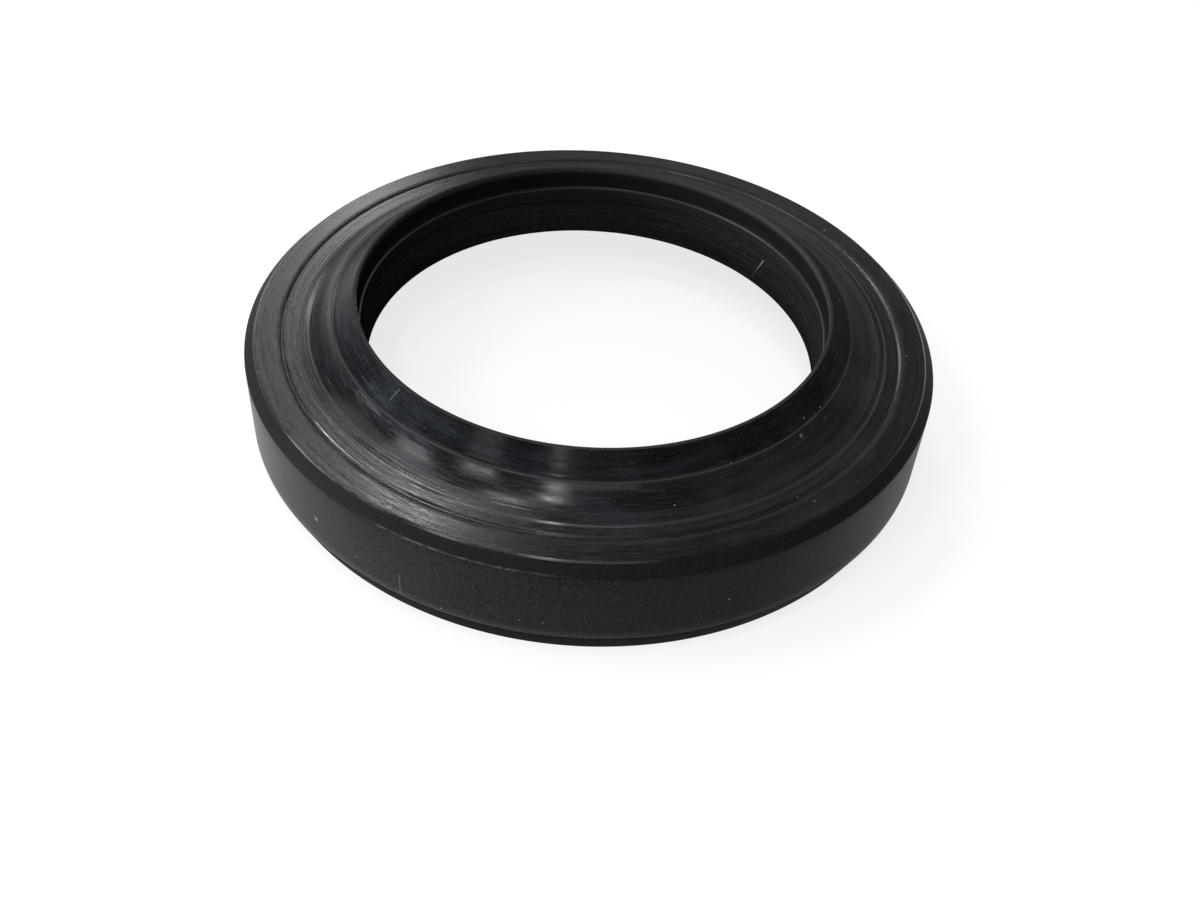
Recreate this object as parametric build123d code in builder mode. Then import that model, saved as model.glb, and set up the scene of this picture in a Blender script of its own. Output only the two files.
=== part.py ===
"""Radial shaft seal for a 42 mm shaft in a 62 mm housing, 10 mm wide, with a raised neck.

A rubber body of revolution holds a garter spring behind its sealing lip.
Millimetres. +Z points to the air side, the axis of the shaft is Z, and the origin
is the centre of the oil side face on which the seal stands.
"""

from build123d import *
import math
import os

# What the seal fits
shaft_diameter = 42.0
housing_bore = 62.0
body_width = 10.0
lip_interference = 0.7
housing_interference = 0.3

# Outer wall
wall_thickness = 2.1
face_chamfer = 1.0
lead_in_depth = 0.95
lead_in_length = 2.2
base_bevel = 0.7

# Air side face: a flat rim with one turned groove, then a step into the dished slope
face_width = 4.48
face_step = 0.12
groove_inset = 3.37
groove_width = 0.36
groove_depth = 0.14

# Neck that rises from the dished slope
neck_height = 3.2
neck_wall = 1.96
shoulder_rise = 1.5
shoulder_width = 0.36
shoulder_slope = 14.0
rim_width = 0.3

# Bore, from the neck's mouth down to the sealing lip
mouth_clearance = 0.45
mouth_depth = 2.1
mouth_undercut = 0.15
ledge_drop = 0.25
throat_clearance = 0.31
throat_length = 1.5
score_width = 0.3
score_depth = 0.14
cone_length = 1.95
land_length = 1.2

# Lip head on the oil side, with the groove that holds the spring
lip_thickness = 1.4
flank_angle = 30.0
spring_coil_diameter = 1.8
spring_clearance = 0.05
spring_setback = 0.35
groove_mouth_angle = 70.0
nose_start = 0.1
bead_reach = 0.4
bead_height = 0.36
bead_radius = 0.25

# Tongue and the recess between it and the outer wall
tongue_thickness = 1.9
tongue_length = 1.3
tongue_fillet = 0.4
hinge_depth = 0.6
hinge_fillet = 0.5
flange_thickness = 2.6
recess_fillet = 1.2

# Radii
outer_radius = (housing_bore + housing_interference) / 2
lip_radius = (shaft_diameter - lip_interference) / 2
recess_radius = outer_radius - wall_thickness
mouth_radius = lip_radius + mouth_clearance
throat_radius = lip_radius + throat_clearance
tongue_radius = throat_radius + tongue_thickness
face_groove_radius = outer_radius - groove_inset
slope_radius = outer_radius - face_width - face_step
shoulder_radius = mouth_radius + neck_wall

# Heights above the oil side face
face_height = body_width
rim_height = face_height + neck_height
ledge_height = rim_height - mouth_depth
throat_height = ledge_height - ledge_drop
score_height = throat_height - throat_length
cone_height = score_height - score_width
land_height = cone_height - cone_length
lip_height = land_height - land_length
shoulder_height = face_height + shoulder_rise
hinge_height = face_height - hinge_depth
recess_height = face_height - flange_thickness

# The spring's section sits in its groove with an even clearance
spring_groove_radius = spring_coil_diameter / 2 + spring_clearance
spring_ring_radius = lip_radius + lip_thickness + spring_groove_radius
spring_height = lip_height + spring_setback
spring_centre = Vector(spring_ring_radius, spring_height)


def from_angle(length, angle):
    """A step of the given length, at an angle in degrees above the radial direction."""
    return Vector(length * math.cos(math.radians(angle)), length * math.sin(math.radians(angle)))


# Ends of the dished slope
slope_foot = Vector(slope_radius, face_height + face_step)
shoulder_outer = Vector(shoulder_radius + shoulder_width, shoulder_height)
shoulder_inner = shoulder_outer + from_angle(shoulder_width, 180 - shoulder_slope)

# The flank runs from the lip's edge to just past the spring's ring radius
lip_edge = Vector(lip_radius, lip_height)
flank_reach = spring_ring_radius + nose_start - lip_radius
flank_end = lip_edge + from_angle(flank_reach / math.cos(math.radians(flank_angle)), -flank_angle)
groove_lower_end = spring_centre + from_angle(spring_groove_radius, -groove_mouth_angle)
groove_upper_end = spring_centre + from_angle(spring_groove_radius, groove_mouth_angle)

# The bead above the spring, and the tongue that carries the head
bead_tip = groove_upper_end + Vector(bead_reach, bead_height)
tongue_foot = Vector(tongue_radius, hinge_height - tongue_length)

os.makedirs("parts", exist_ok=True)

with BuildPart() as seal_body:
    with BuildSketch(Plane.XZ):
        with BuildLine():
            # Base land, lead-in taper and outer wall up to the face
            Polyline(
                (recess_radius + base_bevel, 0),
                (outer_radius - lead_in_depth, 0),
                (outer_radius, lead_in_length),
                (outer_radius, face_height - face_chamfer),
                (outer_radius - face_chamfer, face_height),
                (face_groove_radius + groove_width / 2, face_height),
            )
            # Round-bottomed turned groove in the flat rim
            ThreePointArc(
                (face_groove_radius + groove_width / 2, face_height),
                (face_groove_radius, face_height - groove_depth),
                (face_groove_radius - groove_width / 2, face_height),
            )
            Polyline(
                (face_groove_radius - groove_width / 2, face_height),
                (outer_radius - face_width, face_height),
                slope_foot,
            )
            # Dished slope, which leaves the flat rim smoothly
            TangentArc(slope_foot, shoulder_outer, tangent=(-1, 0))
            # Shoulder, neck, rim and bore
            Polyline(
                shoulder_outer,
                shoulder_inner,
                (mouth_radius + rim_width, rim_height),
                (mouth_radius, rim_height),
                (mouth_radius + mouth_undercut, ledge_height),
                (throat_radius, throat_height),
                (throat_radius, score_height),
                (throat_radius + score_depth, score_height - score_width / 2),
                (throat_radius, cone_height),
                (lip_radius, land_height),
                lip_edge,
                flank_end,
            )
            # Rounded nose below the spring, then the groove that wraps round it
            TangentArc(flank_end, groove_lower_end, tangent=from_angle(1, -flank_angle))
            CenterArc(
                spring_centre,
                spring_groove_radius,
                groove_mouth_angle,
                360 - 2 * groove_mouth_angle,
            )
            # Bead, tongue, hinge and the roof and side of the recess
            FilletPolyline(
                groove_upper_end,
                bead_tip,
                tongue_foot,
                (tongue_radius, hinge_height),
                (recess_radius, recess_height),
                (recess_radius, base_bevel),
                radius=[bead_radius, tongue_fillet, hinge_fillet, recess_fillet],
            )
            Line((recess_radius, base_bevel), (recess_radius + base_bevel, 0))
        make_face()
    revolve(axis=Axis.Z)

seal_body.part.label = "seal_body"
export_step(seal_body.part, "parts/seal_body.step")

with BuildPart() as garter_spring:
    with BuildSketch(Plane.XZ):
        with Locations(spring_centre):
            Circle(spring_coil_diameter / 2)
    revolve(axis=Axis.Z)

garter_spring.part.label = "garter_spring"
export_step(garter_spring.part, "parts/garter_spring.step")
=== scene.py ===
import math

import bmesh
import bpy
from mathutils import Matrix, Quaternion, Vector


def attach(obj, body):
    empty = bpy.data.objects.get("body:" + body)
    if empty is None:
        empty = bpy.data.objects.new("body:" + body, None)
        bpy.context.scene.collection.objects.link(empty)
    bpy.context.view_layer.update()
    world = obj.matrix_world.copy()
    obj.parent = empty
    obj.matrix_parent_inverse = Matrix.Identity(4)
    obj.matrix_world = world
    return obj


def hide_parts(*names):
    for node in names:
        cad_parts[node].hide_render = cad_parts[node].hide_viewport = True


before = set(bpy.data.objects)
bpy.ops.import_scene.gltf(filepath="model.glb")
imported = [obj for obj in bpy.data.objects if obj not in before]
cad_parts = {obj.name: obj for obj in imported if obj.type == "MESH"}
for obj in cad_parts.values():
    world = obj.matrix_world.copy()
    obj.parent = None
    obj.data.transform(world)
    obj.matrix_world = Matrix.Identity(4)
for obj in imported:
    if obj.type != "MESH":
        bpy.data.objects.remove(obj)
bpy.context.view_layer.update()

MM = 0.001

# ---------------------------------------------------------------- sizes, in millimetres
# What the seal fits
SHAFT_DIAMETER = 42.0
HOUSING_BORE = 62.0
BODY_WIDTH = 10.0
LIP_INTERFERENCE = 0.7
HOUSING_INTERFERENCE = 0.3

# Outer wall
WALL_THICKNESS = 2.1
FACE_CHAMFER = 1.0
LEAD_IN_DEPTH = 0.95
LEAD_IN_LENGTH = 2.2
BASE_BEVEL = 0.7

# Air side face, neck and bore
FACE_WIDTH = 4.48
FACE_STEP = 0.12
GROOVE_INSET = 3.37
GROOVE_WIDTH = 0.36
GROOVE_DEPTH = 0.14
NECK_HEIGHT = 3.2
NECK_WALL = 1.96
SHOULDER_RISE = 1.5
SHOULDER_WIDTH = 0.36
SHOULDER_SLOPE = 14.0
RIM_WIDTH = 0.3
MOUTH_CLEARANCE = 0.45
MOUTH_DEPTH = 2.1
MOUTH_UNDERCUT = 0.15
LEDGE_DROP = 0.25
THROAT_CLEARANCE = 0.31
THROAT_LENGTH = 1.5
SCORE_WIDTH = 0.3
SCORE_DEPTH = 0.14
CONE_LENGTH = 1.95
LAND_LENGTH = 1.2

# Lip head, spring and recess on the oil side
LIP_THICKNESS = 1.4
FLANK_ANGLE = 30.0
COIL_DIAMETER = 1.8
SPRING_CLEARANCE = 0.05
SPRING_SETBACK = 0.35
GROOVE_MOUTH_ANGLE = 70.0
NOSE_START = 0.1
BEAD_REACH = 0.4
BEAD_HEIGHT = 0.36
BEAD_RADIUS = 0.25
TONGUE_THICKNESS = 1.9
TONGUE_LENGTH = 1.3
TONGUE_FILLET = 0.4
HINGE_DEPTH = 0.6
HINGE_FILLET = 0.5
FLANGE_THICKNESS = 2.6
RECESS_FILLET = 1.2

OUTER_R = (HOUSING_BORE + HOUSING_INTERFERENCE) / 2
LIP_R = (SHAFT_DIAMETER - LIP_INTERFERENCE) / 2
RECESS_R = OUTER_R - WALL_THICKNESS
MOUTH_R = LIP_R + MOUTH_CLEARANCE
THROAT_R = LIP_R + THROAT_CLEARANCE
TONGUE_R = THROAT_R + TONGUE_THICKNESS
FACE_GROOVE_R = OUTER_R - GROOVE_INSET
STEP_R = OUTER_R - FACE_WIDTH
SLOPE_R = STEP_R - FACE_STEP
SHOULDER_R = MOUTH_R + NECK_WALL

FACE_Z = BODY_WIDTH
RIM_Z = FACE_Z + NECK_HEIGHT
LEDGE_Z = RIM_Z - MOUTH_DEPTH
THROAT_Z = LEDGE_Z - LEDGE_DROP
SCORE_Z = THROAT_Z - THROAT_LENGTH
CONE_Z = SCORE_Z - SCORE_WIDTH
LAND_Z = CONE_Z - CONE_LENGTH
LIP_Z = LAND_Z - LAND_LENGTH
SHOULDER_Z = FACE_Z + SHOULDER_RISE
HINGE_Z = FACE_Z - HINGE_DEPTH
RECESS_Z = FACE_Z - FLANGE_THICKNESS

SPRING_GROOVE_R = COIL_DIAMETER / 2 + SPRING_CLEARANCE
SPRING_CENTRE = Vector((LIP_R + LIP_THICKNESS + SPRING_GROOVE_R, LIP_Z + SPRING_SETBACK))


# ---------------------------------------------------------------- the body's outline
def from_angle(length, angle):
    """A step of the given length, at an angle in degrees above the radial direction."""
    return Vector((math.cos(math.radians(angle)), math.sin(math.radians(angle)))) * length


def rounded(corners, spacing):
    """Points along a run of corners (r, z, rounding), none further apart than the spacing."""
    points = [Vector(corners[0][:2])]
    for before, corner, after in zip(corners, corners[1:], corners[2:]):
        here = Vector(corner[:2])
        back = (Vector(before[:2]) - here).normalized()
        ahead = (Vector(after[:2]) - here).normalized()
        if corner[2] <= 0:
            points.append(here)
            continue
        half = back.angle(ahead) / 2
        set_back = corner[2] / math.tan(half)
        centre = here + (back + ahead).normalized() * (corner[2] / math.sin(half))
        first = here + back * set_back - centre
        sweep = first.angle_signed(here + ahead * set_back - centre)
        steps = max(3, math.ceil(abs(math.degrees(sweep)) / 16))
        for k in range(steps + 1):
            turn = Matrix.Rotation(-sweep * k / steps, 2)
            points.append(centre + turn @ first)
    points.append(Vector(corners[-1][:2]))
    return spaced(points, spacing)


def spaced(points, spacing):
    """The same line with points added wherever two are further apart than the spacing."""
    out = [points[0]]
    for a, b in zip(points, points[1:]):
        parts = max(1, math.ceil((b - a).length / spacing - 0.01))
        out += [a.lerp(b, k / parts) for k in range(1, parts + 1)]
    return out


def arc(centre, radius, start, sweep, steps):
    """Points on an arc, angles in degrees."""
    return [centre + from_angle(radius, start + sweep * k / steps) for k in range(steps + 1)]


def tangent_arc(start, end, tangent, steps):
    """Points on the arc that leaves start along tangent and ends at end."""
    chord = end - start
    normal = Vector((-tangent.y, tangent.x)).normalized()
    radius = chord.length_squared / (2 * chord.dot(normal))
    centre = start + normal * radius
    first = start - centre
    sweep = first.angle_signed(end - centre)
    if chord.dot(tangent) < 0:
        sweep -= math.copysign(2 * math.pi, sweep)
    return [centre + Matrix.Rotation(-sweep * k / steps, 2) @ first for k in range(steps + 1)]


# Rings that the turning tool left on the air side: radius, depth and half width
TURNED_RINGS = [
    (29.62, 0.010, 0.10),
    (27.10, 0.016, 0.09),
    (26.32, 0.014, 0.07),
    (26.04, 0.018, 0.07),
    (25.82, 0.024, 0.09),
    (25.42, 0.020, 0.09),
    (24.40, 0.008, 0.12),
    (23.82, 0.012, 0.09),
    (22.90, 0.022, 0.08),
    (22.30, 0.008, 0.10),
]


def turned(point):
    """The point, lowered where it lies in one of the turned rings."""
    drop = sum(
        depth * math.exp(-(((point.x - radius) / width) ** 2))
        for radius, depth, width in TURNED_RINGS
    )
    return Vector((point.x, point.y - drop))


slope_foot = Vector((SLOPE_R, FACE_Z + FACE_STEP))
shoulder_outer = Vector((SHOULDER_R + SHOULDER_WIDTH, SHOULDER_Z))
shoulder_inner = shoulder_outer + from_angle(SHOULDER_WIDTH, 180 - SHOULDER_SLOPE)
lip_edge = Vector((LIP_R, LIP_Z))
flank_reach = SPRING_CENTRE.x + NOSE_START - LIP_R
flank_end = lip_edge + from_angle(flank_reach / math.cos(math.radians(FLANK_ANGLE)), -FLANK_ANGLE)
groove_lower_end = SPRING_CENTRE + from_angle(SPRING_GROOVE_R, -GROOVE_MOUTH_ANGLE)
groove_upper_end = SPRING_CENTRE + from_angle(SPRING_GROOVE_R, GROOVE_MOUTH_ANGLE)
bead_tip = groove_upper_end + Vector((BEAD_REACH, BEAD_HEIGHT))

# Each stretch of the outline: its material's name and its points
taper = rounded(
    [
        (RECESS_R + BASE_BEVEL, 0, 0),
        (OUTER_R - LEAD_IN_DEPTH, 0, 0.12),
        (OUTER_R, LEAD_IN_LENGTH, 0),
    ],
    0.9,
)
wall = rounded(
    [
        (OUTER_R, LEAD_IN_LENGTH, 0),
        (OUTER_R, FACE_Z - FACE_CHAMFER, 0.10),
        (OUTER_R - FACE_CHAMFER / 2, FACE_Z - FACE_CHAMFER / 2, 0),
    ],
    0.9,
)
chamfer = rounded(
    [
        (OUTER_R - FACE_CHAMFER / 2, FACE_Z - FACE_CHAMFER / 2, 0),
        (OUTER_R - FACE_CHAMFER, FACE_Z, 0.12),
        (OUTER_R - FACE_CHAMFER - 0.2, FACE_Z, 0),
    ],
    0.2,
)
flat = rounded(
    [
        (OUTER_R - FACE_CHAMFER - 0.2, FACE_Z, 0),
        (FACE_GROOVE_R + GROOVE_WIDTH / 2 + 0.44, FACE_Z, 1.5),
        (FACE_GROOVE_R + GROOVE_WIDTH / 2 + 0.06, FACE_Z - 0.055, 0.8),
        (FACE_GROOVE_R + GROOVE_WIDTH / 5, FACE_Z - GROOVE_DEPTH, 0.05),
        (FACE_GROOVE_R - GROOVE_WIDTH / 5, FACE_Z - GROOVE_DEPTH, 0.05),
        (FACE_GROOVE_R - GROOVE_WIDTH / 2, FACE_Z, 0.06),
        (STEP_R, FACE_Z, 0.04),
        (SLOPE_R, FACE_Z + FACE_STEP, 0),
    ],
    0.09,
)
slope = spaced(tangent_arc(slope_foot, shoulder_outer, Vector((-1, 0)), 38), 0.1)
neck = rounded(
    [
        tuple(slope[-2]) + (0,),
        tuple(shoulder_outer) + (0.10,),
        tuple(shoulder_inner) + (0.10,),
        (MOUTH_R + RIM_WIDTH, RIM_Z, 0.06),
        (MOUTH_R + RIM_WIDTH / 2, RIM_Z, 0),
    ],
    0.12,
)
mouth = rounded(
    [
        (MOUTH_R + RIM_WIDTH / 2, RIM_Z, 0),
        (MOUTH_R, RIM_Z, 0.04),
        (MOUTH_R + MOUTH_UNDERCUT, LEDGE_Z, 0),
    ],
    0.5,
)
shelf_start = Vector((MOUTH_R + MOUTH_UNDERCUT, LEDGE_Z))
shelf_end = Vector((THROAT_R, THROAT_Z))
shelf_middle = tuple(shelf_start.lerp(shelf_end, 0.6)) + (0,)
shelf = rounded([tuple(mouth[-2]) + (0,), tuple(shelf_start) + (0.12,), shelf_middle], 0.3)
ledge = rounded(
    [shelf_middle, tuple(shelf_end) + (0.20,), (THROAT_R, THROAT_Z - LEDGE_DROP / 2, 0)], 0.3
)
throat = rounded(
    [
        (THROAT_R, THROAT_Z - LEDGE_DROP / 2, 0),
        (THROAT_R, SCORE_Z, 0.10),
        (THROAT_R + SCORE_DEPTH, SCORE_Z - SCORE_WIDTH / 2, 0.10),
        (THROAT_R, CONE_Z, 0.10),
        (THROAT_R - 0.02, CONE_Z - 0.2, 0),
    ],
    0.3,
)
bore = rounded(
    [
        (THROAT_R - 0.02, CONE_Z - 0.2, 0),
        (LIP_R, LAND_Z, 0.60),
        (LIP_R, LIP_Z, 0.05),
        tuple(lip_edge.lerp(flank_end, 0.5)) + (0,),
    ],
    0.3,
)
nose = spaced([lip_edge.lerp(flank_end, 0.5), flank_end], 0.6) + tangent_arc(
    flank_end, groove_lower_end, from_angle(1, -FLANK_ANGLE), 9
)[1:]
spring_groove = arc(
    SPRING_CENTRE, SPRING_GROOVE_R, -GROOVE_MOUTH_ANGLE, 2 * GROOVE_MOUTH_ANGLE - 360, 20
)
recess = rounded(
    [
        tuple(groove_upper_end) + (0,),
        tuple(bead_tip) + (BEAD_RADIUS,),
        (TONGUE_R, HINGE_Z - TONGUE_LENGTH, TONGUE_FILLET),
        (TONGUE_R, HINGE_Z, HINGE_FILLET),
        (RECESS_R, RECESS_Z, RECESS_FILLET),
        (RECESS_R, BASE_BEVEL, 0.10),
        (RECESS_R + BASE_BEVEL, 0, 0),
    ],
    0.9,
)

# The dish inside this radius is finished apart from the rim and the step.
DISH_R = 25.3
air_side = flat[1:] + slope[1:-1]
dish_start = next(i for i, p in enumerate(air_side) if p.x < DISH_R)
STRETCHES = [
    ("taper", taper),
    ("wall", wall[:-1]),
    ("chamfer", wall[-2:] + chamfer[1:-5]),
    ("face", chamfer[-6:] + [turned(p) for p in air_side[:dish_start]]),
    ("dish", [turned(p) for p in air_side[dish_start - 1 :]]),
    ("neck", [turned(p) for p in [slope[-2]] + neck[1:-6]] + neck[-6:-5]),
    ("mouth", neck[-6:] + mouth[1:-1] + shelf[1:]),
    ("ledge", ledge),
    ("throat", throat),
    ("bore", bore),
    ("moulded", nose[1:] + spring_groove[1:] + recess[1:]),
]


# ---------------------------------------------------------------- node helpers
class Graph:
    """A material's node tree, with short calls for the nodes it is built from."""

    def __init__(self, tree):
        self.tree = tree
        self.place = self.node("ShaderNodeTexCoord").outputs["Object"]

    def node(self, kind, **settings):
        made = self.tree.nodes.new(kind)
        for name, value in settings.items():
            setattr(made, name, value)
        return made

    def feed(self, socket, value):
        if isinstance(value, bpy.types.NodeSocket):
            self.tree.links.new(value, socket)
        else:
            socket.default_value = value

    def math(self, operation, a, b=0.0, c=0.0, clamp=False):
        made = self.node("ShaderNodeMath", operation=operation, use_clamp=clamp)
        for socket, value in zip(made.inputs, (a, b, c)):
            self.feed(socket, value)
        return made.outputs[0]

    def add(self, a, b):
        return self.math("ADD", a, b)

    def times(self, a, b):
        return self.math("MULTIPLY", a, b)

    def scaled(self, value, low, high, to_low=0.0, to_high=1.0, smooth=True):
        kind = "SMOOTHSTEP" if smooth else "LINEAR"
        made = self.node("ShaderNodeMapRange", interpolation_type=kind)
        for socket, number in zip(made.inputs, (value, low, high, to_low, to_high)):
            self.feed(socket, number)
        return made.outputs[0]

    def blend(self, factor, a, b):
        made = self.node("ShaderNodeMix", data_type="RGBA")
        self.feed(made.inputs["Factor"], factor)
        self.feed(made.inputs[6], a)
        self.feed(made.inputs[7], b)
        return made.outputs[2]

    def parts(self, vector):
        made = self.node("ShaderNodeSeparateXYZ")
        self.feed(made.inputs[0], vector)
        return made.outputs

    def vector(self, x, y, z):
        made = self.node("ShaderNodeCombineXYZ")
        for socket, value in zip(made.inputs, (x, y, z)):
            self.feed(socket, value)
        return made.outputs[0]

    def noise(self, vector, scale, detail=2.0, roughness=0.5):
        made = self.node("ShaderNodeTexNoise", noise_dimensions="3D")
        self.feed(made.inputs["Vector"], vector)
        made.inputs["Scale"].default_value = scale
        made.inputs["Detail"].default_value = detail
        made.inputs["Roughness"].default_value = roughness
        return made.outputs["Fac"]

    def streaks(self, ring, lengthwise, crosswise, detail=2.0, roughness=0.5):
        """Noise drawn out round the axis. Ring is the direction's two parts and the radius or
        the height, and a larger number makes the streaks shorter or finer."""
        cx, cy, across = ring
        place = self.vector(
            self.times(cx, lengthwise), self.times(cy, lengthwise), self.times(across, crosswise)
        )
        return self.noise(place, 1.0, detail, roughness)

    def specks(self, vector, scale, size):
        """Dots of about the given share of a cell, each with its own chance."""
        made = self.node("ShaderNodeTexVoronoi", feature="F1", distance="EUCLIDEAN")
        self.feed(made.inputs["Vector"], vector)
        made.inputs["Scale"].default_value = scale
        made.inputs["Randomness"].default_value = 1.0
        dot = self.scaled(made.outputs["Distance"], size, size * 0.55)
        chance = self.parts(made.outputs["Color"])[0]
        return dot, chance

    def place_mm(self):
        """Where the surface point is, in mm."""
        made = self.node("ShaderNodeVectorMath", operation="SCALE")
        self.feed(made.inputs[0], self.place)
        made.inputs["Scale"].default_value = 1 / MM
        return made.outputs[0]

    def between(self, a, b, operation, out="Vector"):
        made = self.node("ShaderNodeVectorMath", operation=operation)
        self.feed(made.inputs[0], a)
        self.feed(made.inputs[1], b)
        return made.outputs[out]

    def dots(self, place, centres):
        """Round specks, given as (centre, radius) in mm."""
        found = 0.0
        for centre, size in centres:
            away = self.between(place, tuple(centre), "DISTANCE", "Value")
            found = self.math("MAXIMUM", found, self.scaled(away, size, size * 0.45))
        return found

    def stroke(self, place, start, end, width):
        """A straight scratch from start to end, in mm, fading at its edges."""
        run = end - start
        reach = self.between(place, tuple(start), "SUBTRACT")
        along = self.between(reach, tuple(run), "DOT_PRODUCT", "Value")
        along = self.math("MULTIPLY", along, 1 / run.length_squared, clamp=True)
        foot = self.node("ShaderNodeVectorMath", operation="SCALE")
        foot.inputs[0].default_value = tuple(run)
        self.feed(foot.inputs["Scale"], along)
        foot = self.between(foot.outputs[0], tuple(start), "ADD")
        return self.scaled(self.between(place, foot, "DISTANCE", "Value"), width, width * 0.35)

    def window(self, value, low, high, edge):
        """One between low and high, falling to nothing over the edge's width."""
        rise = self.scaled(value, low - edge, low + edge)
        return self.times(rise, self.scaled(value, high + edge, high - edge))

    def bump(self, height, depth, strength=1.0, under=None):
        made = self.node("ShaderNodeBump")
        made.inputs["Strength"].default_value = strength
        made.inputs["Distance"].default_value = depth
        self.feed(made.inputs["Height"], height)
        if under is not None:
            self.feed(made.inputs["Normal"], under)
        return made.outputs[0]


def ring_place(g):
    """Radius and height in mm, and the direction round the axis as a unit vector's parts."""
    x, y, z = g.parts(g.place)
    radius = g.math("SQRT", g.add(g.times(x, x), g.times(y, y)))
    along_x = g.math("DIVIDE", x, radius)
    along_y = g.math("DIVIDE", y, radius)
    return g.times(radius, 1 / MM), g.times(z, 1 / MM), along_x, along_y


def ring_angle(g, cx, cy):
    """The angle round the axis in degrees, from 0 to 360."""
    turn = g.times(g.math("ARCTAN2", cy, cx), 180 / math.pi)
    return g.math("FLOORED_MODULO", turn, 360.0)


def at(radius, angle, height):
    """The point in mm at this radius, angle in degrees round the axis, and height."""
    a = math.radians(angle)
    return Vector((radius * math.cos(a), radius * math.sin(a), height))


def on_air_side(radius, angle):
    """The point of the air side at this radius and angle."""
    line = flat + slope[1:-1] + neck[1:]
    for a, b in zip(line, line[1:]):
        if b.x <= radius <= a.x:
            return at(radius, angle, a.lerp(b, (a.x - radius) / max(a.x - b.x, 1e-6)).y)
    return at(radius, angle, FACE_Z)


def rubber(name, specular, anisotropy):
    """A new rubber material, its node graph and its Principled shader. The specular level is
    mostly well under real rubber's 0.5, to match the photo over a white floor."""
    material = bpy.data.materials.new(name)
    material.use_nodes = True
    shader = material.node_tree.nodes["Principled BSDF"]
    shader.inputs["Specular IOR Level"].default_value = specular
    shader.inputs["Anisotropic"].default_value = anisotropy
    shader.inputs["Anisotropic Rotation"].default_value = 0.25
    g = Graph(material.node_tree)
    if anisotropy:
        tangent = g.node("ShaderNodeTangent", direction_type="RADIAL", axis="Z")
        g.feed(shader.inputs["Tangent"], tangent.outputs[0])
    return material, g, shader


# ---------------------------------------------------------------- marks of use, in mm and degrees
FACE_DUST = [
    (on_air_side(radius, angle), size)
    for radius, angle, size in [
        (22.90, 321.5, 0.10),
        (23.13, 327.2, 0.08),
        (23.80, 326.4, 0.07),
        (21.34, 322.5, 0.08),
        (27.66, 336.6, 0.09),
        (28.84, 309.6, 0.08),
        (27.69, 308.2, 0.07),
        (25.14, 286.8, 0.09),
        (23.23, 300.3, 0.07),
        (28.69, 37.1, 0.12),
        (28.57, 354.7, 0.09),
        (25.79, 354.4, 0.07),
        (30.33, 240.9, 0.11),
        (30.10, 201.2, 0.10),
        (30.00, 193.1, 0.09),
    ]
]
NECK_SCRATCH = (on_air_side(22.52, 224.6), on_air_side(21.64, 225.2))
FACE_NICK = (on_air_side(27.25, 183.3), on_air_side(27.02, 184.8))
RIM_NOTCH = (on_air_side(21.30, 270.7), on_air_side(21.12, 270.9))
WALL_DUST = [
    (at(OUTER_R, angle, height), size)
    for angle, height, size in [
        (250.4, 2.57, 0.09),
        (262.3, 3.57, 0.07),
        (265.8, 3.64, 0.07),
        (292.6, 5.13, 0.13),
        (235.5, 3.87, 0.08),
    ]
]
WALL_SCRATCH = (at(OUTER_R, 243.6, 4.58), at(OUTER_R, 243.6, 2.37))
BORE_SCRATCH = (at(THROAT_R, 37.5, CONE_Z), at(LIP_R, 40.3, 6.5))


# ---------------------------------------------------------------- materials
NICK = (0.0015, 0.0015, 0.0015, 1)
FACE_DUST_COLOUR = (0.33, 0.3225, 0.3, 1)
# Colour of the wall's dust specks and of the painted glint on its upper edge
WALL_DUST_AND_GLINT_COLOUR = (0.345, 0.345, 0.3, 1)
# Pale colour of the painted glint lines on the face
GLINT_LINE_COLOUR = (0.069, 0.072, 0.075, 1)
SCRATCH_COLOUR = (0.3, 0.2175, 0.165, 1)
# Radii in mm between which an edge is painted pale as a glint: the groove's inner crest, and the
# shoulder
CREST_LINE = (26.54, 26.72)
SHOULDER_LINE = (23.26, 23.44)
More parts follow.
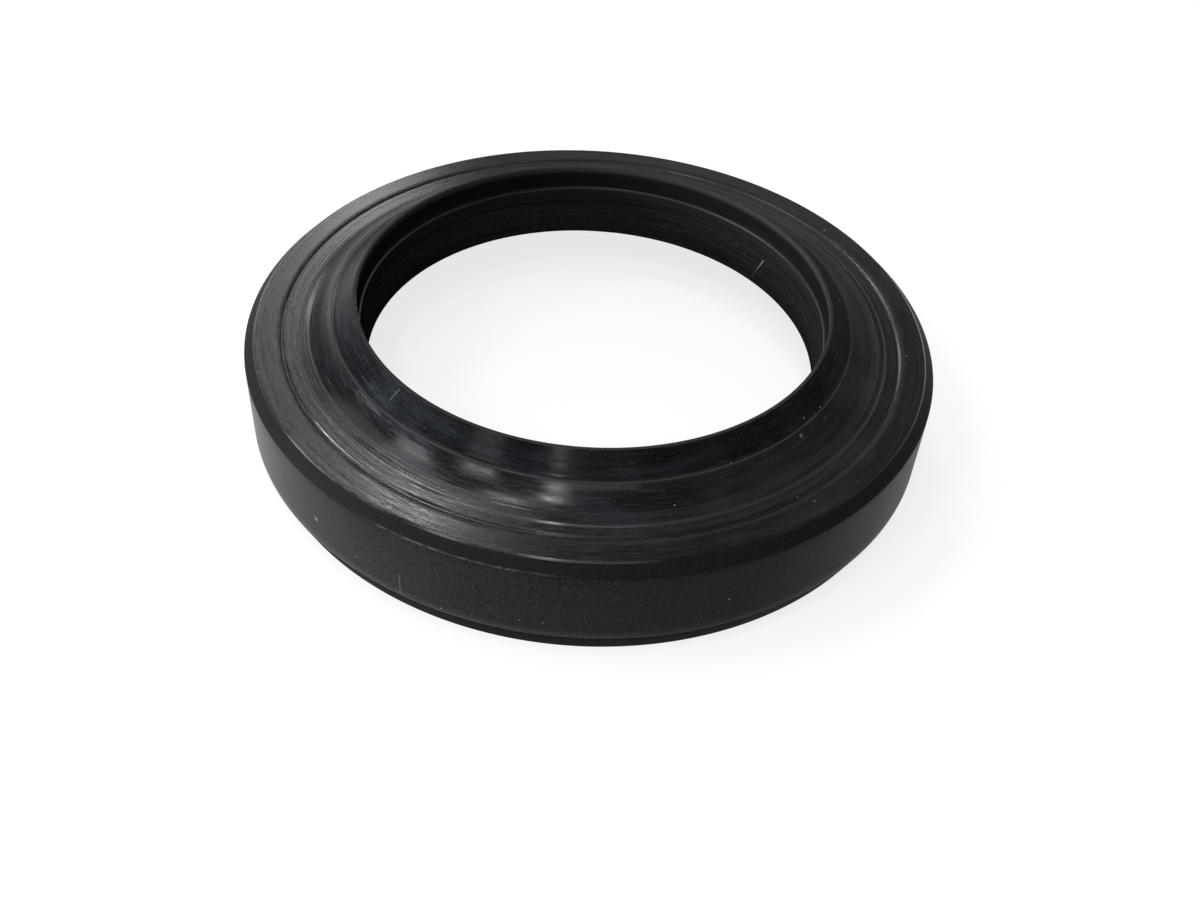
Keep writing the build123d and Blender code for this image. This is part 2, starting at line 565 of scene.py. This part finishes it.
# Roughness of the part of the dish and neck that faces right
DULL_ROUGHNESS = 0.75
def face_material(name, specular):
    """Turned rubber: fine rings round the axis, grey bloom in smears, dust and a scratch, with
    painted shade in the groove and painted glints along two edges.
    """
    material, g, shader = rubber(name, specular, 0.8)
    radius, _, cx, cy = ring_place(g)
    place = g.place_mm()
    ring = (cx, cy, radius)

    fine = g.streaks(ring, 2.0, 6.0, 3.0, 0.6)
    short = g.streaks(ring, 11.0, 8.0, 2.0, 0.6)
    hair = g.streaks(ring, 44.0, 15.0, 1.0, 0.5)
    broad = g.streaks(ring, 2.5, 1.1, 2.0)
    smear = g.streaks(ring, 5.0, 0.35, 3.0)

    bloom = g.scaled(g.add(g.times(broad, 0.5), g.times(smear, 0.5)), 0.40, 0.66)
    colour = g.blend(bloom, (0.0054, 0.006, 0.0072, 1), (0.0144, 0.0162, 0.0192, 1))
    streak = g.times(g.scaled(short, 0.52, 0.80), 0.55)
    colour = g.blend(streak, colour, (0.039, 0.042, 0.045, 1))
    grain = g.noise(g.place, 5200.0, 2.0, 0.6)
    colour = g.blend(g.scaled(grain, 0.50, 0.78, 0.0, 0.35), colour, (0.045, 0.0465, 0.048, 1))
    dust_dot, chance = g.specks(g.place, 620.0, 0.15)
    dust = g.times(dust_dot, g.scaled(chance, 0.955, 0.965))
    dust = g.math("MAXIMUM", g.times(dust, 0.5), g.dots(place, FACE_DUST))
    dust = g.math("MAXIMUM", dust, g.times(g.stroke(place, *NECK_SCRATCH, 0.07), 0.35))
    colour = g.blend(g.times(dust, 0.75), colour, FACE_DUST_COLOUR)
    nick = g.stroke(place, *FACE_NICK, 0.07)
    colour = g.blend(nick, colour, NICK)
    # Darker in the face groove: painted shade in the groove. The same mask also roughens the
    # groove.
    groove = g.times(g.window(radius, FACE_GROOVE_R - 0.08, FACE_GROOVE_R + 0.02, 0.05), 0.4)
    colour = g.blend(groove, colour, (0.0045, 0.0045, 0.0048, 1))
    # Pale lines all round the groove's crest and the shoulder: painted glints
    glint_lines = g.math(
        "MAXIMUM", g.window(radius, *CREST_LINE, 0.10), g.window(radius, *SHOULDER_LINE, 0.08)
    )
    colour = g.blend(g.times(glint_lines, 0.5), colour, GLINT_LINE_COLOUR)
    g.feed(shader.inputs["Base Color"], colour)

    # Streaks show most at the front left
    front_left = g.add(g.times(cx, -0.5), g.times(cy, -0.87))
    rubbed = g.scaled(front_left, 0.2, 0.95, 0.18, 1.5)
    wear_and_glint = g.add(g.add(g.times(short, 0.55), g.times(hair, 0.30)), g.times(smear, 0.15))
    wear_and_glint = g.add(g.times(g.add(wear_and_glint, -0.5), rubbed), 0.5)
    gloss = g.scaled(wear_and_glint, 0.40, 0.60, 0.17, 0.31, smooth=False)
    gloss = g.times(gloss, g.scaled(radius, SLOPE_R, STEP_R, 0.86, 1.0))
    # Duller at the right, where the white floor would mirror and in the photo nothing pale does
    dulled = g.times(g.scaled(cx, 0.1, 0.65), g.scaled(radius, SLOPE_R - 0.1, SLOPE_R - 0.9))
    gloss = g.math("MAXIMUM", gloss, g.times(dulled, DULL_ROUGHNESS))
    gloss = g.math("MAXIMUM", gloss, g.times(dust, 0.6))
    g.feed(shader.inputs["Roughness"], g.math("MAXIMUM", gloss, g.times(groove, 0.7)))
    relief = g.bump(g.times(g.add(fine, g.times(short, 0.35)), rubbed), 0.000004, 0.6)
    relief = g.bump(nick, 0.00006, 0.8, relief)
    g.feed(shader.inputs["Normal"], relief)
    return material


def ground_colour(g):
    """The matte olive black of the ground outside, with its grain."""
    grain = g.noise(g.place, 5600.0, 3.0, 0.8)
    cloud = g.noise(g.place, 150.0, 3.0, 0.6)
    colour = g.blend(
        g.scaled(cloud, 0.35, 0.7), (0.0045, 0.00465, 0.0039, 1), (0.0093, 0.00945, 0.00795, 1)
    )
    return g.blend(g.scaled(grain, 0.44, 0.68, 0.0, 0.8), colour, (0.039, 0.039, 0.0323, 1)), grain


def wall_material(name, specular, sheen, bare):
    """Ground rubber: matte, olive, with fine grain, a few light specks, and a painted glint in
    dashes along its upper edge at the front left.
    """
    material, g, shader = rubber(name, specular, 0.0)
    shader.inputs["Sheen Weight"].default_value = sheen
    shader.inputs["Sheen Roughness"].default_value = 0.35
    shader.inputs["Sheen Tint"].default_value = (1, 1, 0.93, 1)
    _, height, cx, cy = ring_place(g)
    angle = ring_angle(g, cx, cy)
    place = g.place_mm()
    colour, grain = ground_colour(g)
    colour = g.blend(bare, colour, (0.0132, 0.0132, 0.012, 1))
    speck, chance = g.specks(g.place, 330.0, 0.10)
    dust = g.times(g.times(speck, g.scaled(chance, 0.965, 0.975)), 0.6)
    dust = g.math("MAXIMUM", dust, g.dots(place, WALL_DUST))
    dust = g.math("MAXIMUM", dust, g.times(g.stroke(place, *WALL_SCRATCH, 0.09), 0.22))
    # A pale dashed line along the upper edge at the front left: painted glint, merged into the
    # dust mask
    dash_noise = g.streaks((cx, cy, height), 40.0, 2.0, 4.0, 0.75)
    dashes = g.scaled(dash_noise, 0.40, 0.66, 0.25)
    wear_and_glint = g.times(g.window(height, 9.03, 9.12, 0.05), g.window(angle, 239.0, 266.0, 4.0))
    dust = g.math("MAXIMUM", dust, g.times(g.times(wear_and_glint, dashes), 0.34))
    colour = g.blend(g.times(dust, 0.75), colour, WALL_DUST_AND_GLINT_COLOUR)
    g.feed(shader.inputs["Base Color"], colour)
    g.feed(shader.inputs["Roughness"], g.scaled(grain, 0.3, 0.7, 0.42, 0.58))
    g.feed(shader.inputs["Normal"], g.bump(grain, 0.00004, 0.8))
    return material


def taper_material():
    """The wall's tapered start and the edge it stands on: dull, and painted darker as the shade
    near the floor.
    """
    material, g, shader = rubber("taper_rubber", 0.02, 0.0)
    colour, grain = ground_colour(g)
    # Blended half way to near black: painted shade low on the wall, next to the floor
    colour = g.blend(0.5, colour, (0.002, 0.002, 0.0018, 1))
    g.feed(shader.inputs["Base Color"], colour)
    g.feed(shader.inputs["Roughness"], g.scaled(grain, 0.3, 0.7, 0.60, 0.75))
    g.feed(shader.inputs["Normal"], g.bump(grain, 0.00002, 0.5))
    return material


def bore_material():
    """Smooth bore and lip: dark, with fine grain and a thin scratch."""
    material, g, shader = rubber("lip_rubber", 0.0, 0.0)
    _, height, cx, cy = ring_place(g)
    place = g.place_mm()
    rings = g.streaks((cx, cy, height), 2.0, 5.0, 3.0, 0.6)
    cloud = g.noise(g.place, 160.0, 2.0)
    colour = g.blend(
        g.scaled(rings, 0.4, 0.7), (0.01275, 0.01245, 0.01305, 1), (0.02325, 0.02265, 0.0234, 1)
    )
    grain = g.noise(g.place, 3600.0, 3.0, 0.7)
    colour = g.blend(g.scaled(grain, 0.48, 0.66, 0.0, 0.3), colour, (0.054, 0.051, 0.048, 1))
    scratch = g.times(g.stroke(place, *BORE_SCRATCH, 0.10), g.scaled(height, 6.3, 8.9, 0.15, 0.9))
    colour = g.blend(scratch, colour, SCRATCH_COLOUR)
    g.feed(shader.inputs["Base Color"], colour)
    g.feed(shader.inputs["Roughness"], g.scaled(cloud, 0.3, 0.7, 0.40, 0.55))
    g.feed(shader.inputs["Normal"], g.bump(rings, 0.000008, 0.5))
    return material


def ledge_material():
    """The edge between the mouth and the throat: worn smooth."""
    material, g, shader = rubber("ledge_rubber", 0.26, 0.0)
    _, height, cx, cy = ring_place(g)
    rings = g.streaks((cx, cy, height), 3.0, 6.0, 3.0, 0.6)
    colour = g.blend(
        g.scaled(rings, 0.4, 0.7), (0.012, 0.0117, 0.01305, 1), (0.02175, 0.02145, 0.02355, 1)
    )
    g.feed(shader.inputs["Base Color"], colour)
    g.feed(shader.inputs["Roughness"], g.scaled(rings, 0.3, 0.7, 0.30, 0.42))
    return material


def mouth_material(name, light, dark):
    """The neck's rim and the walls below it: dull and nearly black, with painted light on the
    rim's top and just under it, and a painted glint in dashes on the rim at one place.
    """
    material, g, shader = rubber(name, 0.0, 0.0)
    radius, height, cx, cy = ring_place(g)
    angle = ring_angle(g, cx, cy)
    rings = g.streaks((cx, cy, height), 2.0, 6.0, 3.0, 0.6)
    colour = g.blend(g.scaled(rings, 0.4, 0.7), dark, light)
    # Lighter towards the top of the mouth wall: painted light
    colour = g.blend(g.scaled(height, 12.4, 13.0, 0.0, 0.9), colour, (0.048, 0.048, 0.051, 1))
    # The rim's top face, lighter still: painted light
    rim = g.scaled(height, RIM_Z - 0.12, RIM_Z - 0.02)
    colour = g.blend(rim, colour, (0.039, 0.0398, 0.0413, 1))
    # Pale dashes on the rim's inner edge at the left: painted glint
    dash_noise = g.noise(g.vector(g.times(cx, 75.0), g.times(cy, 75.0), 0.0), 1.0, 2.0, 0.6)
    wear_and_glint = g.times(g.times(rim, g.scaled(dash_noise, 0.50, 0.60)), g.window(angle, 187.0, 198.5, 1.0))
    wear_and_glint = g.times(wear_and_glint, g.scaled(radius, 21.20, 21.14))
    colour = g.blend(g.times(wear_and_glint, 0.8), colour, (0.3, 0.3, 0.3, 1))
    notch = g.stroke(g.place_mm(), *RIM_NOTCH, 0.10)
    colour = g.blend(notch, colour, NICK)
    g.feed(shader.inputs["Base Color"], colour)
    g.feed(shader.inputs["Roughness"], g.scaled(rings, 0.3, 0.7, 0.6, 0.8))
    return material


def moulded_material():
    """As-moulded rubber of the oil side: satin, with a faint bloom."""
    material, g, shader = rubber("moulded_rubber", 0.45, 0.0)
    cloud = g.noise(g.place, 120.0, 4.0, 0.6)
    grain = g.noise(g.place, 3000.0, 2.0)
    colour = g.blend(
        g.scaled(cloud, 0.4, 0.7), (0.009, 0.0093, 0.00975, 1), (0.021, 0.02175, 0.0225, 1)
    )
    g.feed(shader.inputs["Base Color"], colour)
    g.feed(shader.inputs["Roughness"], g.scaled(cloud, 0.3, 0.7, 0.42, 0.58))
    g.feed(shader.inputs["Normal"], g.bump(grain, 0.000006, 0.4))
    return material


def steel_material():
    """Bright drawn spring wire with a trace of oil film."""
    material = bpy.data.materials.new("spring_wire")
    material.use_nodes = True
    shader = material.node_tree.nodes["Principled BSDF"]
    shader.inputs["Metallic"].default_value = 1.0
    g = Graph(material.node_tree)
    cloud = g.noise(g.place, 260.0, 3.0)
    g.feed(
        shader.inputs["Base Color"],
        g.blend(g.scaled(cloud, 0.35, 0.65), (0.42, 0.41, 0.39, 1), (0.56, 0.56, 0.55, 1)),
    )
    g.feed(shader.inputs["Roughness"], g.scaled(cloud, 0.3, 0.7, 0.22, 0.38))
    return material


# ---------------------------------------------------------------- pieces
SEGMENTS = 320
WIRE = 0.30  # The spring wire's diameter in mm
WIRE_PITCH = 1.01  # In wire diameters, so the turns all but touch
COIL_STEPS = 14
WIRE_SIDES = 7


def lathe(name, stretches, materials):
    """A closed ring turned from the stretches of its outline, one material for each."""
    outline, slots = [], []
    for slot_number, (_, points) in enumerate(stretches):
        start = 0 if not outline else 1
        for p in points[start:]:
            outline.append(p)
            slots.append(slot_number)
    outline.pop()
    slots.append(slots.pop(0))
    lengths = [0.0]
    for a, b in zip(outline, outline[1:] + outline[:1]):
        lengths.append(lengths[-1] + (b - a).length)

    mesh = bpy.data.meshes.new(name)
    bm = bmesh.new()
    atlas = bm.loops.layers.uv.new("OFBake")
    rings = []
    for k in range(SEGMENTS):
        c, s = math.cos(2 * math.pi * k / SEGMENTS), math.sin(2 * math.pi * k / SEGMENTS)
        rings.append([bm.verts.new((p.x * c * MM, p.x * s * MM, p.y * MM)) for p in outline])
    count = len(outline)
    for k in range(SEGMENTS):
        here, after = rings[k], rings[(k + 1) % SEGMENTS]
        for i in range(count):
            j = (i + 1) % count
            face = bm.faces.new((here[i], after[i], after[j], here[j]))
            face.smooth = True
            face.material_index = slots[i]
            for loop, (u, v) in zip(face.loops, ((k, i), (k + 1, i), (k + 1, i + 1), (k, i + 1))):
                loop[atlas].uv = (u / SEGMENTS, lengths[v] / lengths[-1])
    bm.to_mesh(mesh)
    bm.free()
    for material in materials:
        mesh.materials.append(material)
    made = bpy.data.objects.new(name, mesh)
    bpy.context.scene.collection.objects.link(made)
    return made


def coil_ring(name, material):
    """A close-wound garter spring: a helix of wire bent round into a ring."""
    turns = round(2 * math.pi * SPRING_CENTRE.x / (WIRE * WIRE_PITCH))
    mesh = bpy.data.meshes.new(name)
    bm = bmesh.new()
    sections = []
    winding = COIL_DIAMETER / 2 - WIRE / 2
    total = turns * COIL_STEPS
    for k in range(total):
        round_axis = 2 * math.pi * k / total
        round_coil = 2 * math.pi * k / COIL_STEPS
        out = Vector((math.cos(round_axis), math.sin(round_axis), 0))
        up = Vector((0, 0, 1))
        away = out * math.cos(round_coil) + up * math.sin(round_coil)
        centre = out * SPRING_CENTRE.x + up * SPRING_CENTRE.y + away * winding
        side = Vector((-out.y, out.x, 0))
        ring = []
        for n in range(WIRE_SIDES):
            a = 2 * math.pi * n / WIRE_SIDES
            point = centre + (away * math.cos(a) + side * math.sin(a)) * (WIRE / 2)
            ring.append(bm.verts.new(point * MM))
        sections.append(ring)
    for k in range(total):
        here, after = sections[k], sections[(k + 1) % total]
        for n in range(WIRE_SIDES):
            m = (n + 1) % WIRE_SIDES
            bm.faces.new((here[n], here[m], after[m], after[n])).smooth = True
    bmesh.ops.recalc_face_normals(bm, faces=bm.faces)
    bm.to_mesh(mesh)
    bm.free()
    mesh.materials.append(material)
    made = bpy.data.objects.new(name, mesh)
    bpy.context.scene.collection.objects.link(made)
    return made


# The light and the dark colour of each
# The mouth's colours are about half the throat's: painted shade in the undercut mouth
MOUTH_SHADED_COLOURS = ((0.0135, 0.0135, 0.0141, 1), (0.00825, 0.00825, 0.0087, 1))
THROAT_COLOURS = ((0.02475, 0.0243, 0.02505, 1), (0.015, 0.01455, 0.0153, 1))

body = lathe(
    "rubber_body",
    STRETCHES,
    [
        taper_material(),
        wall_material("ground_rubber", 0.02, 0.46, 0.0),
        wall_material("chamfer_rubber", 0.03, 0.0, 0.65),
        face_material("turned_rubber", 0.46),
        face_material("dish_rubber", 0.28),
        face_material("neck_rubber", 0.06),
        mouth_material("mouth_rubber", *MOUTH_SHADED_COLOURS),
        ledge_material(),
        mouth_material("throat_rubber", *THROAT_COLOURS),
        bore_material(),
        moulded_material(),
    ],
)
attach(body, "root")
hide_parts("seal_body")

spring = coil_ring("wound_spring", steel_material())
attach(spring, "root")
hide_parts("garter_spring")


# ---------------------------------------------------------------- floor, light and camera
FLOOR_COLOUR = (0.30, 0.30, 0.30, 1)
FLOOR_GLOW = 0.78  # Seen by the camera and in reflections, and no light on matte surfaces
FLOOR_HALF = 3.0
FLOOR_DROP = 0.00002


def floor_material():
    """Plain pale floor. It shows white to the camera and in reflections, and keeps the shadow."""
    material = bpy.data.materials.new("pale_floor")
    material.use_nodes = True
    g = Graph(material.node_tree)
    shader = material.node_tree.nodes["Principled BSDF"]
    shader.inputs["Base Color"].default_value = FLOOR_COLOUR
    shader.inputs["Roughness"].default_value = 1.0
    shader.inputs["Specular IOR Level"].default_value = 0.0
    shader.inputs["Emission Color"].default_value = (1, 1, 1, 1)
    path = g.node("ShaderNodeLightPath")
    seen = g.math("MAXIMUM", path.outputs["Is Camera Ray"], path.outputs["Is Glossy Ray"])
    seen = g.math("MAXIMUM", seen, path.outputs["Is Transmission Ray"])
    g.feed(shader.inputs["Emission Strength"], g.times(seen, FLOOR_GLOW))
    return material


floor_mesh = bpy.data.meshes.new("floor")
corners = [(x * FLOOR_HALF, y * FLOOR_HALF, 0) for x, y in ((-1, -1), (1, -1), (1, 1), (-1, 1))]
floor_mesh.from_pydata(corners, [], [(0, 1, 2, 3)])
floor_mesh.materials.append(floor_material())
floor = bpy.data.objects.new("floor", floor_mesh)
floor.location.z = -FLOOR_DROP
bpy.context.scene.collection.objects.link(floor)

world = bpy.data.worlds.new("studio")
world.use_nodes = True
bpy.context.scene.world = world
sky = world.node_tree
direction = sky.nodes.new("ShaderNodeTexCoord").outputs["Generated"]
split = sky.nodes.new("ShaderNodeSeparateXYZ")
sky.links.new(direction, split.inputs[0])
band = sky.nodes.new("ShaderNodeValToRGB")
sky.links.new(split.outputs["Z"], band.inputs["Fac"])
band.color_ramp.interpolation = "EASE"
# Brightness by height: pale near the horizon, where low views see it, and dim above
stops = [(0.0, 0.62), (0.16, 0.52), (0.30, 0.22), (0.42, 0.11), (0.76, 0.10), (1.0, 0.10)]
for n, (position, level) in enumerate(stops):
    stop = band.color_ramp.elements[n] if n < 2 else band.color_ramp.elements.new(position)
    stop.position = position
    stop.color = (level, level, level, 1)
sky.links.new(band.outputs["Color"], sky.nodes["Background"].inputs["Color"])
sky.nodes["Background"].inputs["Strength"].default_value = 1.0


def lamp(name, azimuth, elevation, width, height, level, turn=0.0):
    """A soft box that faces the seal from a direction. All angles, its width and height too, are
    in degrees. Level is its radiance, and turn leans it over."""
    data = bpy.data.lights.new(name, "AREA")
    data.shape = "RECTANGLE"
    data.size = LAMP_DISTANCE * math.radians(width)
    data.size_y = LAMP_DISTANCE * math.radians(height)
    data.energy = LIGHT_LEVEL * level * data.size * data.size_y * math.pi
    data.color = DAYLIGHT
    box = bpy.data.objects.new(name, data)
    a, e = math.radians(azimuth), math.radians(elevation)
    towards = Vector((math.cos(a) * math.cos(e), math.sin(a) * math.cos(e), math.sin(e)))
    box.location = Vector((0, 0, FACE_Z * MM)) + towards * LAMP_DISTANCE
    box.rotation_mode = "QUATERNION"
    lean = Quaternion((0, 0, 1), math.radians(turn))
    box.rotation_quaternion = towards.to_track_quat("Z", "Y") @ lean
    box.visible_camera = False
    bpy.context.scene.collection.objects.link(box)
    return box


LAMP_DISTANCE = 0.9
LIGHT_LEVEL = 0.64  # The flat rim then renders a colour about as it is written
DAYLIGHT = (0.94, 0.98, 1.0)

# The window behind the seal, pane by pane
lamp("window_low", 102.7, 32, 5.5, 8, 15)
lamp("window_left", 108.5, 37, 6, 14, 1.6)
lamp("window_edge", 122, 27, 4, 7, 9)
lamp("window_frame", 124.5, 38, 2.5, 44, 7, -13)
lamp("pane_1", 101.6, 44.5, 3.6, 6, 34)
lamp("pane_2", 97.0, 45, 2.5, 6, 4)
lamp("pane_3", 93.5, 46, 2.5, 6, 1)
lamp("window_high", 110, 57, 9, 12, 1.8)
lamp("left_corner", 150, 50, 20, 20, 2.0)
# Lamps at the left and overhead, seen in the dished slope
lamp("left_lamp", 183, 50.5, 9, 17, 13.5, 37)
lamp("near_lamp", 222, 47, 10, 18, 11, 20)
lamp("near_strip", 257.5, 54, 3.5, 7.5, 75, 5)
lamp("over_strip", 241, 77, 3.2, 8, 58, 10)
lamp("overhead", 152, 77, 6, 6, 30)
# Soft fill
lamp("left_fill", 193, 7, 40, 9, 52)
lamp("left_sky", 147, 60, 16, 12, 4.0)
lamp("left_upper", 130, 64, 12, 8, 3.0)
lamp("front_soft", 274, 43, 30, 8, 4.0)
lamp("back_fill", 85, 70, 30, 16, 0.4)
lamp("back_low", 85, 32, 14, 8, 0.8)

# The camera stands above the near side, with the seal above the middle of its view
CAMERA_DISTANCE = 0.1195
CAMERA_ELEVATION = 36.63
CAMERA_PAN = 0.69
CAMERA_TILT = -5.79
CAMERA_ROLL = -3.77
AIM_HEIGHT = 0.010

camera_data = bpy.data.cameras.new("camera")
camera_data.sensor_width = 36.0
camera_data.lens = 39.0
camera_data.clip_start = 0.005
camera_data.clip_end = 20.0
camera = bpy.data.objects.new("camera", camera_data)
elevation = math.radians(CAMERA_ELEVATION)
backward = Vector((0, -math.cos(elevation), math.sin(elevation)))
camera.location = backward * CAMERA_DISTANCE + Vector((0, 0, AIM_HEIGHT))
aim = backward.to_track_quat("Z", "Y").to_matrix()
turn = (
    Matrix.Rotation(math.radians(-CAMERA_PAN), 3, "Y")
    @ Matrix.Rotation(math.radians(CAMERA_TILT), 3, "X")
    @ Matrix.Rotation(math.radians(-CAMERA_ROLL), 3, "Z")
)
camera.rotation_mode = "QUATERNION"
camera.rotation_quaternion = (aim @ turn).to_quaternion()
bpy.context.scene.collection.objects.link(camera)
bpy.context.scene.camera = camera
bpy.context.scene.view_settings.view_transform = "Standard"
